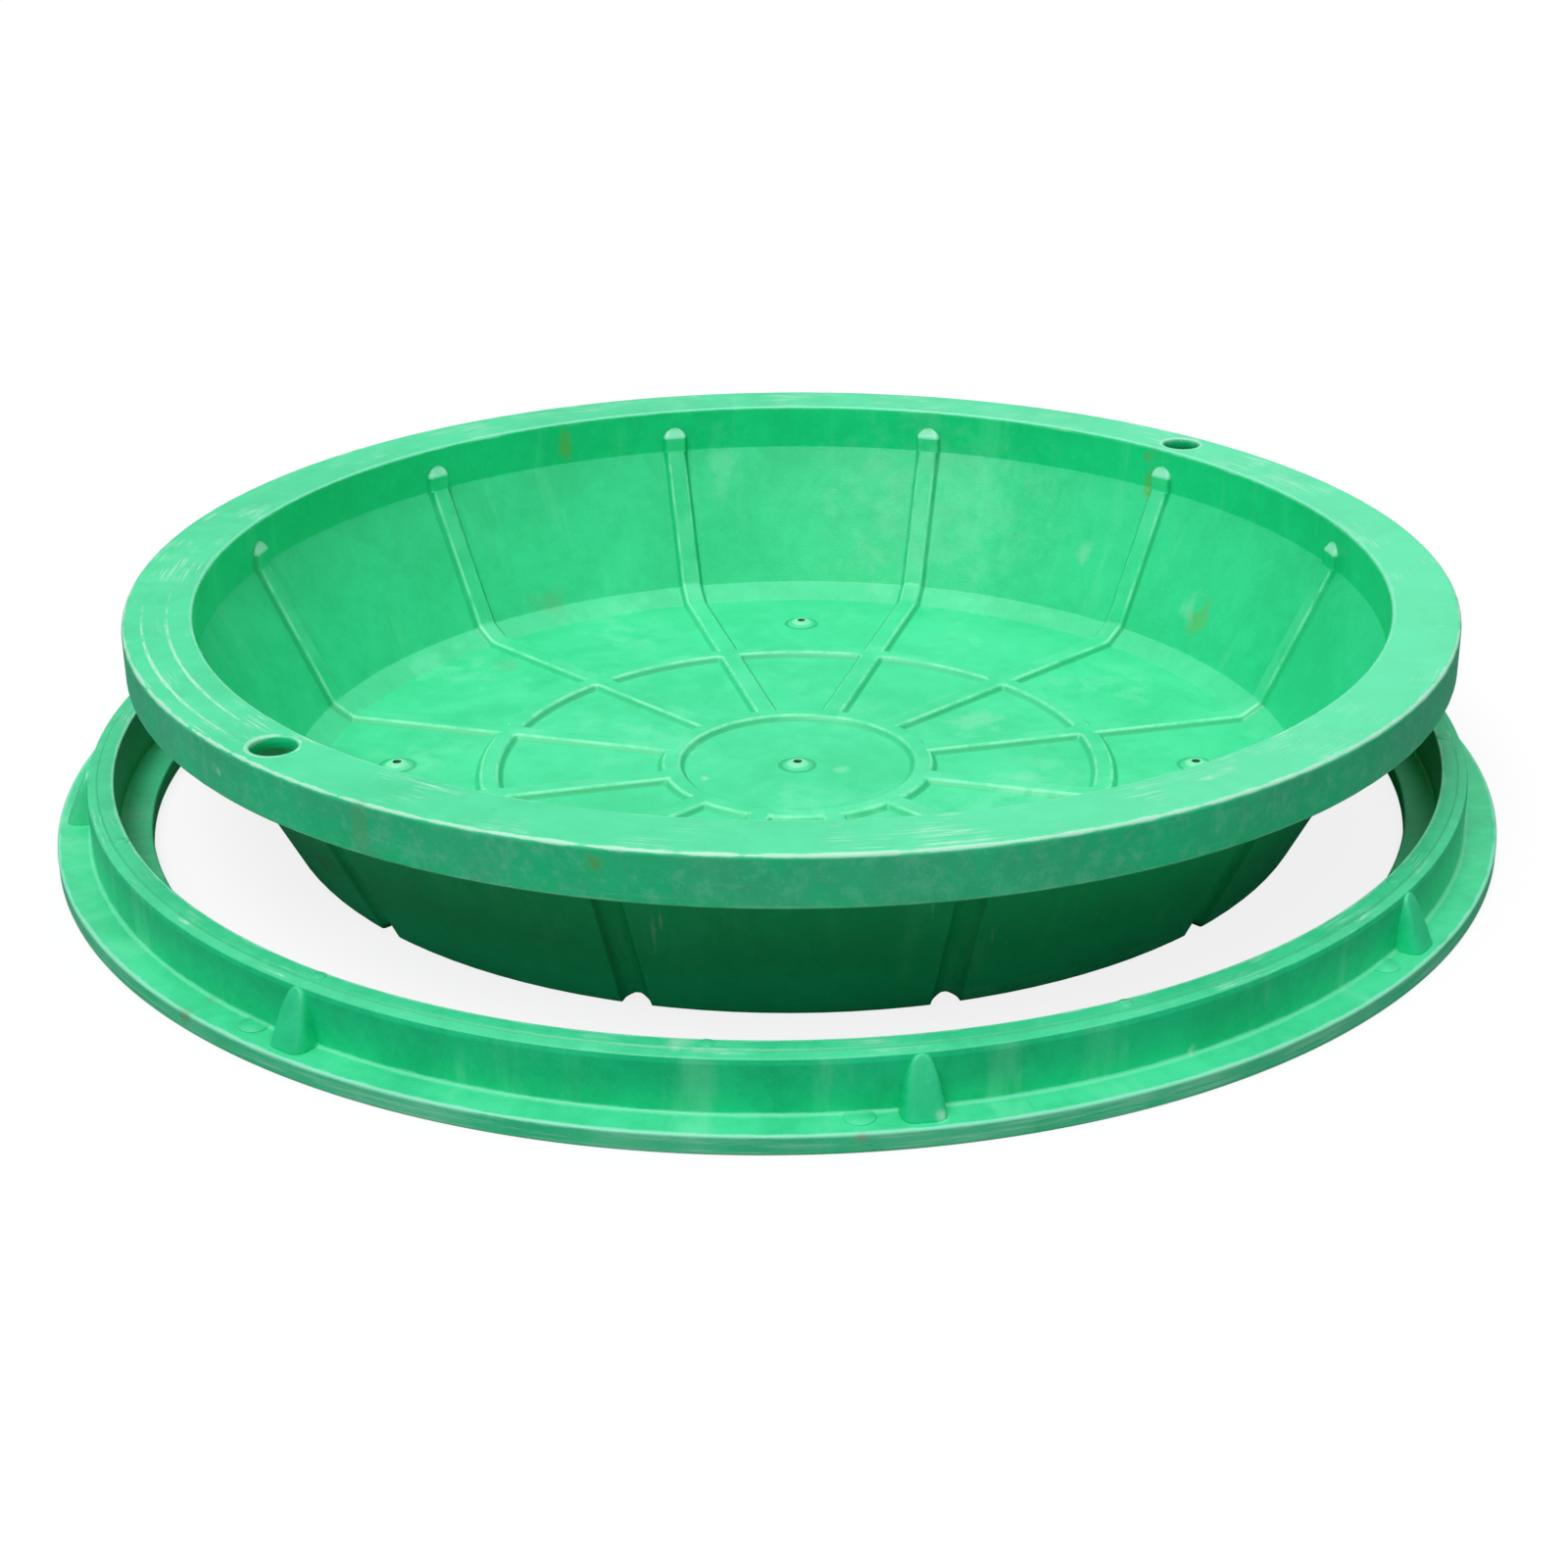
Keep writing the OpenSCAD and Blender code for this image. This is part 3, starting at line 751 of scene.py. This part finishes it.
# %% The flange's outer edge is paler and mottled, with a worn corner, stains and chips
edge_face = coat.radius(FLANGE_R - 1.0, FLANGE_R - 0.2)
coat.add(1.0, (0.17, 0.80, 0.46), edge_face, coat.ramp(coat.patch_noise, 0.35, 0.65, 0.25, 0.75))
mottle = coat.ramp(coat.noise(where["Around"], 420.0, 4.0, 0.75), 0.48, 0.64)
coat.add(0.60, (0.42, 0.93, 0.68), edge_face, mottle)
wear_and_light_line(coat, where, FLANGE_R - 0.6, FLANGE_T - 0.4, 1.7, 0.6, 0.6, (0.35, 0.90, 0.66))
stains(coat, (
    (385, -133, FLANGE_T, 4, ALL, 0.45, RUST), (FLANGE_R, -133, 7, 5, ALL, 0.55, RUST),
    (FLANGE_R, -83, 8, 3, ALL, 0.55, (0.45, 0.42, 0.30)), (394.5, -77.6, 12, 2.6, ALL, 0.90, CHALK),
    (WALL_R, -58.5, 12, 3, ALL, 0.95, CHALK), (372, -95, RING_H, 5, ALL, 0.45, CHALK)))
ring_green = coat.done()

# %% [markdown]
# ## Making the cover
# The cover is one moulding of even thickness, so its inside and its underside are one closed skin. It
# could be modelled by hand with a mirrored segment, but the turning tree gives the whole shell in one
# go, at the sizes above, and a rib can't drift out of place.

# %% From a tree to a plain mesh
def set_inputs(modifier, values):
    """Sets a modifier's inputs by the socket's identifier, found from its name."""
    for item in modifier.node_group.interface.items_tree:
        if item.item_type == "SOCKET" and item.in_out == "INPUT" and item.name in values:
            modifier[item.identifier] = values[item.name]


def applied(target, modifier):
    """The mesh that a modifier makes of its object; the modifier is used up."""
    ready = target.evaluated_get(bpy.context.evaluated_depsgraph_get())
    mesh = bpy.data.meshes.new_from_object(ready)
    target.modifiers.remove(modifier)
    return mesh


def to_mesh(source, name, tree, values):
    """Runs a tree on an object and returns the result as a plain mesh object."""
    in_scene.link(source)
    modifier = source.modifiers.new("made", "NODES")
    modifier.node_group = tree
    set_inputs(modifier, values)
    mesh = applied(source, modifier)
    bpy.data.objects.remove(source)
    mesh.name = name
    if mesh.materials and mesh.materials[0] is None:
        mesh.materials.pop(index=0)
    made = bpy.data.objects.new(name, mesh)
    in_scene.link(made)
    print(name, "has", len(mesh.polygons), "faces")
    return made


# %% The cover's shell
cover = to_mesh(cover_profile, "cover_shell", turned, {
    "Rows": len(cover_outline), "Sectors": RIBS, "Columns per sector": 32, "Rib zone": 0.72,
    "Rib zone width": 10 * MM, "Turn": COVER_TURN, "Place": cover_centre, "Material": cover_green})

# %% [markdown]
# ## Nubs, drains and lifting holes
# Rain drains through five small nubs, and two hooks lift the cover by holes in its rim. The holes go
# right through, so they are cut with booleans, as a drill would, and each nub is a small turned cone
# that is joined to the floor. A second tree sets copies of a mesh round a circle, because nubs, cutters,
# buttresses and moulding marks are all the same thing at different places.

# %% Turned solids
def closed_mesh(name, rows):
    """Smooth mesh through rows of points in millimetres, lowest first, with both ends closed."""
    sides, faces = len(rows[0]), []
    for low in range(0, (len(rows) - 1) * sides, sides):
        for k in range(sides):
            n = (k + 1) % sides
            faces.append((low + k, low + n, low + sides + n, low + sides + k))
    faces.append(tuple(reversed(range(sides))))
    faces.append(tuple((len(rows) - 1) * sides + k for k in range(sides)))
    mesh = bpy.data.meshes.new(name)
    mesh.from_pydata([(x * MM, y * MM, z * MM) for row in rows for x, y, z in row], [], faces)
    mesh.shade_smooth()
    return bpy.data.objects.new(name, mesh)


def turned_solid(name, outline, sides=48):
    """Closed mesh turned round the axis from (radius, height) points in millimetres."""
    turns = [2 * math.pi * k / sides for k in range(sides)]
    return closed_mesh(name, [[(r * math.cos(a), r * math.sin(a), z) for a in turns] for r, z in outline])


# %% Tree that repeats a mesh round a circle
repeat, given, result = new_tree("Geometry", "Set round a circle", {
    "Geometry": ("Geometry", None), "Count": ("Int", 4), "Circle radius": ("Float", 0.1),
    "Start": ("Float", 0.0), "Turn": ("Float", 0.0), "Place": VECTOR,
    "Material": ("Material", None)}, {"Geometry": "Geometry"})
ring_points = put(repeat, "GeometryNodePoints", {"Count": given["Count"]}).outputs[0]
order = put(repeat, "GeometryNodeInputIndex").outputs[0]
bearing = calc(repeat, "DIVIDE", times(repeat, order, 2 * math.pi), given["Count"])
bearing = calc(repeat, "ADD", calc(repeat, "ADD", bearing, given["Start"]), given["Turn"])
around = put(repeat, "ShaderNodeCombineXYZ", {
    0: times(repeat, given["Circle radius"], calc(repeat, "COSINE", bearing)),
    1: times(repeat, given["Circle radius"], calc(repeat, "SINE", bearing))}).outputs[0]
placed = put(repeat, "ShaderNodeVectorMath", {0: around, 1: given["Place"]}, operation="ADD").outputs[0]
ring_points = put(repeat, "GeometryNodeSetPosition", {
    "Geometry": ring_points, "Position": placed}).outputs[0]
facing = put(repeat, "ShaderNodeCombineXYZ", {2: bearing}).outputs[0]
copies = put(repeat, "GeometryNodeInstanceOnPoints", {
    "Points": ring_points, "Instance": given["Geometry"], "Rotation": facing}).outputs[0]
copies = put(repeat, "GeometryNodeRealizeInstances", {"Geometry": copies}).outputs[0]
copies = put(repeat, "GeometryNodeSetMaterial", {
    "Geometry": copies, "Material": given["Material"]}).outputs[0]
repeat.links.new(copies, result["Geometry"])
tell(repeat)


def set_round(source, name, count, circle_r, start, turn, place, finish):
    """Copies of a mesh round a circle, as one plain mesh."""
    return to_mesh(source, name, repeat, {
        "Count": count, "Circle radius": circle_r * MM, "Start": start, "Turn": turn, "Place": place,
        "Material": finish})


# %% The nubs, and the tools that cut drains and lifting holes
def nub():
    return turned_solid("nub", [
        (NUB_FOOT_R + 1.3, FLOOR_T - 1.5), (NUB_FOOT_R, FLOOR_T), (7.6, FLOOR_T + 0.4),
        (5.4, FLOOR_T + 1.9), (4.6, FLOOR_T + 2.35), (NUB_LIP_R, FLOOR_T + NUB_H)])


def drain():
    return turned_solid("drain", [
        (DRAIN_R, -2), (DRAIN_R, FLOOR_T + 2.1), (2.5, FLOOR_T + 2.6), (2.6, FLOOR_T + 5)], 32)


def lifting_cutter():
    return turned_solid("lifting_cutter", [
        (HOLE_UNDER_R, RIM_UNDER - 2), (HOLE_UNDER_R, RIM_UNDER), (HOLE_R, RIM_UNDER + 1),
        (HOLE_R, COVER_H - 0.9), (11.8, COVER_H - 0.3), (HOLE_MOUTH_R, COVER_H),
        (HOLE_MOUTH_R, COVER_H + 3)], 64)


# %% Joining and cutting
def merge_with(target, tool, operation):
    """Boolean of two closed meshes; the tool is used up."""
    modifier = target.modifiers.new("cut", "BOOLEAN")
    modifier.operation, modifier.object, modifier.solver = operation, tool, "MANIFOLD"
    target.data = applied(target, modifier)
    bpy.data.objects.remove(tool)


for make, name, count, circle_r, start, turn, operation in (
        (nub, "nubs", NUBS, NUB_R, 0, COVER_TURN, "UNION"), (nub, "nub", 1, 0, 0, 0, "UNION"),
        (drain, "drains", NUBS, NUB_R, 0, COVER_TURN, "DIFFERENCE"),
        (drain, "drain", 1, 0, 0, 0, "DIFFERENCE"),
        (lifting_cutter, "lifting_holes", HOLES, HOLES_R, HOLES_AT, COVER_TURN, "DIFFERENCE")):
    tool = set_round(make(), name, count, circle_r, start, turn, cover_centre, cover_green)
    merge_with(cover, tool, operation)
print("cover faces after cutting:", len(cover.data.polygons))

# %% [markdown]
# ## Clean cuts
# Where a nub's foot meets the floor's grid, the cuts leave hair-thin slivers that would shade badly, so
# points closer than a few thousandths of a millimetre are merged. The shell is shaded smooth, and only
# the circles where a nub or a hole meets it are marked sharp, as they are on the moulding.

# %% Slivers merged
work = bmesh.new()
work.from_mesh(cover.data)
bmesh.ops.remove_doubles(work, verts=work.verts, dist=0.005 * MM)
bmesh.ops.dissolve_degenerate(work, edges=work.edges, dist=0.002 * MM)
work.to_mesh(cover.data)
work.free()
print("cover faces after merging:", len(cover.data.polygons))


# %% Crisp edges where nubs and holes meet the shell
def crisp_circles(mesh, circles, level=0.05, off_circle=0.12):
    """Marks the edges that lie on circles (x, y, radius, height), in millimetres, as sharp."""
    at = [v.co / MM for v in mesh.vertices]
    marked = 0
    for edge in mesh.edges:
        a, b = (at[v] for v in edge.vertices)
        if abs(a.z - b.z) >= level:
            continue
        for x, y, radius, height in circles:
            if abs(a.z - height) < level and all(
                    abs(math.hypot(p.x - x, p.y - y) - radius) < off_circle for p in (a, b)):
                edge.use_edge_sharp = True
                marked += 1
    print(mesh.name, "has", marked, "crisp edges")


nub_circles = (
    (NUB_FOOT_R, FLOOR_T), (DRAIN_R, 0), (DRAIN_MOUTH_R, FLOOR_T + NUB_H), (NUB_LIP_R, FLOOR_T + NUB_H))
hole_circles = ((HOLE_MOUTH_R, COVER_H), (HOLE_UNDER_R, RIM_UNDER))
crisp_circles(cover.data, [
    (x, y, r, z) for spots, circles in ((nub_spots, nub_circles), (hole_spots, hole_circles))
    for x, y in spots for r, z in circles])

# %% [markdown]
# ## Making the ring
# The ring is turned by the same tree with no ribs. Its flat top has a step of under a millimetre near
# the outer edge. The buttresses are leaf-shaped bosses, built level by level: a rounded oblong that
# narrows upwards, and whose front is flattened and leans back to the wall, as the photograph shows.

# %% The ring's body
ring_corners = [
    (375, 0, 0), (OPENING_R, 0, 1), (OPENING_R, FLANGE_T, 1.2), (BORE_R, FLANGE_T, 1.5),
    (BORE_R, RING_H, 0.9), (TOP_STEP_R - 0.7, RING_H, 0.3), (TOP_STEP_R + 0.1, RING_H - 0.8, 0.3),
    (WALL_R - 0.6, RING_H - 2.2, 0.9), (WALL_R, RING_H - 5, 0.8), (WALL_R, FLANGE_T, 1.6),
    (FLANGE_R, FLANGE_T, 1.3), (FLANGE_R, 0, 1), (375, 0, 0)]
ring_outline = with_steps(rounded(ring_corners), rounded(ring_corners), lambda point: 5.0)
ring_profile = outline_object("ring_profile", ring_outline, lambda point, number: NO_RIB)
ring = to_mesh(ring_profile, "ring_body", turned, {
    "Rows": len(ring_outline), "Sectors": BUTTRESSES, "Columns per sector": 40, "Rib zone": 0.05,
    "Rib zone width": 1 * MM, "Turn": RING_TURN, "Place": (0, 0, 0), "Material": ring_green})

# %% The buttresses
def buttress(sides=48, levels=24):
    """Leaf-shaped boss with a flattened front; +X faces out of the wall, and the origin is on its axis."""
    def squared(value):
        """A cosine or sine pushed outwards, which turns a circle into a rounded oblong."""
        return math.copysign(abs(value) ** 0.48, value)

    rows = []
    low, high = FLANGE_T - 1, RING_H - BUTTRESS_DROP
    for i in range(levels + 1):
        left = (1 - i / levels) ** 1.6
        half_width = BUTTRESS_HALF * max(left, 0.004) ** 0.38
        front = 0.8 + BUTTRESS_OUT * left ** 0.9
        row = []
        for k in range(sides):
            c, s = math.cos(2 * math.pi * k / sides), math.sin(2 * math.pi * k / sides)
            depth = front if c > 0 else BUTTRESS_ROOT
            row.append((squared(c) * depth, squared(s) * half_width, high - (high - low) * left))
        rows.append(row)
    return closed_mesh("buttress", rows)


buttresses = set_round(
    buttress(), "ring_buttresses", BUTTRESSES, WALL_R, 0, RING_TURN, (0, 0, 0), ring_green)

# %% Marks of the mould's ejector pins: discs that stand a hair proud
def pin_marks(name, radius, level, proud, count, circle_r, start, turn):
    """Discs round a circle, sizes in millimetres and the start in degrees."""
    disc = turned_solid("pin_mark", [
        (radius, level - 0.5), (radius, level + proud * 0.5), (radius - 0.25, level + proud)], 40)
    return set_round(disc, name, count, circle_r, math.radians(start), turn, (0, 0, 0), ring_green)


top_marks = pin_marks(
    "ring_top_marks", radius=3.6, level=RING_H, proud=0.4, count=12, circle_r=371.6, start=-3.1, turn=0)
foot_marks = pin_marks(
    "ring_foot_marks", radius=7.5, level=FLANGE_T, proud=0.6, count=BUTTRESSES, circle_r=386.0,
    start=-4.2, turn=RING_TURN)

# %% [markdown]
# ## Floor, light and camera
# The photograph is a cut-out on white under a soft bright sky, a little stronger from the left. A wide
# soft sun from the front left and a sky that fades towards the horizon do that at a plain level. The
# floor shows white to the camera but keeps the object's shadow, and is dark to bounced light, so that
# the underside stays as deep as it should. Glossy rays see only a share of the white, because the
# whole of it would wash out the dark bowl.

# %% Strength of the light, and what the floor throws back
FLOOR_HALF, FLOOR_GLOW, FLOOR_BOUNCE = 30, 0.84, (0.11, 0.24, 0.20, 1)
SKY_STRENGTH, GLOSSY_SHARE = 1.45, 0.22
SUN_STRENGTH, SUN_WIDTH, SUN_FROM = 1.25, math.radians(30), Vector((-0.25, -0.45, 0.86))
WHITE = (1, 1, 1, 1)


def rays(tree):
    """The kinds of ray, and 1 where the camera sees the surface itself."""
    kinds = put(tree, "ShaderNodeLightPath").outputs
    return kinds, calc(tree, "MAXIMUM", kinds["Is Camera Ray"], kinds["Is Transmission Ray"])


print("sun", SUN_STRENGTH, "sky", SKY_STRENGTH, "floor glow", FLOOR_GLOW)

# %% Floor
floor_mesh = bpy.data.meshes.new("floor")
floor_corners = [(x * FLOOR_HALF, y * FLOOR_HALF, 0) for x, y in ((-1, -1), (1, -1), (1, 1), (-1, 1))]
floor_mesh.from_pydata(floor_corners, [], [(0, 1, 2, 3)])
floor = bpy.data.objects.new("floor", floor_mesh)
in_scene.link(floor)
floor_white = bpy.data.materials.new("floor_white")
floor_white.use_nodes = True
tree = floor_white.node_tree
tree.nodes.clear()
paper = put(tree, "ShaderNodeBsdfDiffuse", {"Color": WHITE}).outputs[0]
glow = put(tree, "ShaderNodeEmission", {"Color": WHITE, "Strength": 1.0}).outputs[0]
shown = put(tree, "ShaderNodeMixShader", {0: FLOOR_GLOW, 1: paper, 2: glow}).outputs[0]
unseen = put(tree, "ShaderNodeBsdfDiffuse", {"Color": FLOOR_BOUNCE}).outputs[0]
kinds, direct = rays(tree)
mixed = put(tree, "ShaderNodeMixShader", {0: direct, 1: unseen, 2: shown}).outputs[0]
tree.links.new(mixed, put(tree, "ShaderNodeOutputMaterial").inputs[0])
tell(tree)
floor_mesh.materials.append(floor_white)

# %% World and sun
world = bpy.data.worlds.new("sky")
bpy.context.scene.world = world
world.use_nodes = True
tree = world.node_tree
tree.nodes.clear()
up = parts(tree, put(tree, "ShaderNodeTexCoord").outputs["Generated"])[2]
overhead = times(tree, calc(tree, "POWER", calc(tree, "MAXIMUM", up, 0), 2), SKY_STRENGTH)
sky = put(tree, "ShaderNodeBackground", {"Color": WHITE, "Strength": overhead}).outputs[0]
white = put(tree, "ShaderNodeBackground", {"Color": WHITE, "Strength": 1.0}).outputs[0]
kinds, direct = rays(tree)
direct = calc(tree, "MAXIMUM", direct, times(tree, kinds["Is Glossy Ray"], GLOSSY_SHARE))
both = put(tree, "ShaderNodeMixShader", {0: direct, 1: sky, 2: white}).outputs[0]
tree.links.new(both, put(tree, "ShaderNodeOutputWorld").inputs[0])
tell(tree)

sun_data = bpy.data.lights.new("soft_sun", "SUN")
sun_data.energy = SUN_STRENGTH
sun_data.angle = SUN_WIDTH
sun = bpy.data.objects.new("soft_sun", sun_data)
sun.rotation_euler = SUN_FROM.to_track_quat("Z", "Y").to_euler()
in_scene.link(sun)

# %% Camera, fitted to the photograph's circles and holes
camera_data = bpy.data.cameras.new("camera")
camera_data.lens = 61.505
camera_data.sensor_width = 36
camera_data.shift_x = -0.0625
camera_data.clip_start, camera_data.clip_end = 0.01, 100
camera = bpy.data.objects.new("camera", camera_data)
camera.location = (0.05644, -1.40306, 0.62907)
pitch, roll = math.radians(90 - 24.1636), math.radians(0.4301)
camera.rotation_euler = (Matrix.Rotation(pitch, 3, "X") @ Matrix.Rotation(roll, 3, "Z")).to_euler()
in_scene.link(camera)
bpy.context.scene.camera = camera
bpy.context.scene.view_settings.view_transform = "Standard"
print("camera at", tuple(round(v, 3) for v in camera.location))

# %% [markdown]
# ## Hand the pieces to the frame
# Every piece rides on the one body, and the solids that the pieces replace are hidden.

# %% Ride and replace
for piece, slot_name in ((cover, "cover_green"), (ring, "ring_green"), (buttresses, "ring_green"),
                         (top_marks, "ring_green"), (foot_marks, "ring_green")):
    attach(piece, "root")
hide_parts("cover_basin")
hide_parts("seat_ring")
